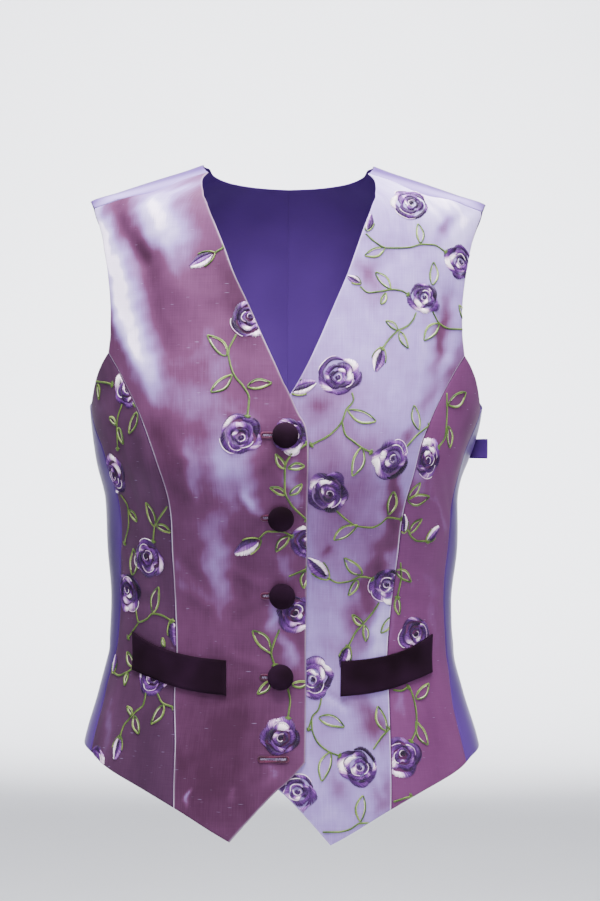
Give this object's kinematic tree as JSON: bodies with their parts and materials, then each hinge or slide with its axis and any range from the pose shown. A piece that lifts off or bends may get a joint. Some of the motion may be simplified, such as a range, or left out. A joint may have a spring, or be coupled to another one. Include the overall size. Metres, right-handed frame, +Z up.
{
  "type": "embroidered waistcoat",
  "caption": "Fitted V-necked waistcoat with princess seams, welt pockets, covered buttons and pointed fronts, in its worn hollow shape.",
  "frame": {"origin": "midway between the shoulders, at the height where they carry the cloth", "axes": "+Z up, fronts facing -Y, +X to the wearer's left"},
  "size_m": [0.3538, 0.2399, 0.5806],
  "materials": {
    "silk": "shot silk dupion, plum with a lavender sheen",
    "satin": "blue-lilac lining satin",
    "velvet": "aubergine velvet",
    "thread": "glossy embroidery and sewing thread"
  },
  "bodies": {
    "root": {"front_right": "silk", "front_left": "silk", "side_front_right": "silk", "side_front_left": "silk", "back_right": "satin", "back_left": "satin", "pocket_welt_right": "velvet", "pocket_welt_left": "velvet", "back_tab_left": "satin", "button_1": "velvet", "button_2": "velvet", "button_3": "velvet", "button_4": "velvet"}
  },
  "joints": []
}
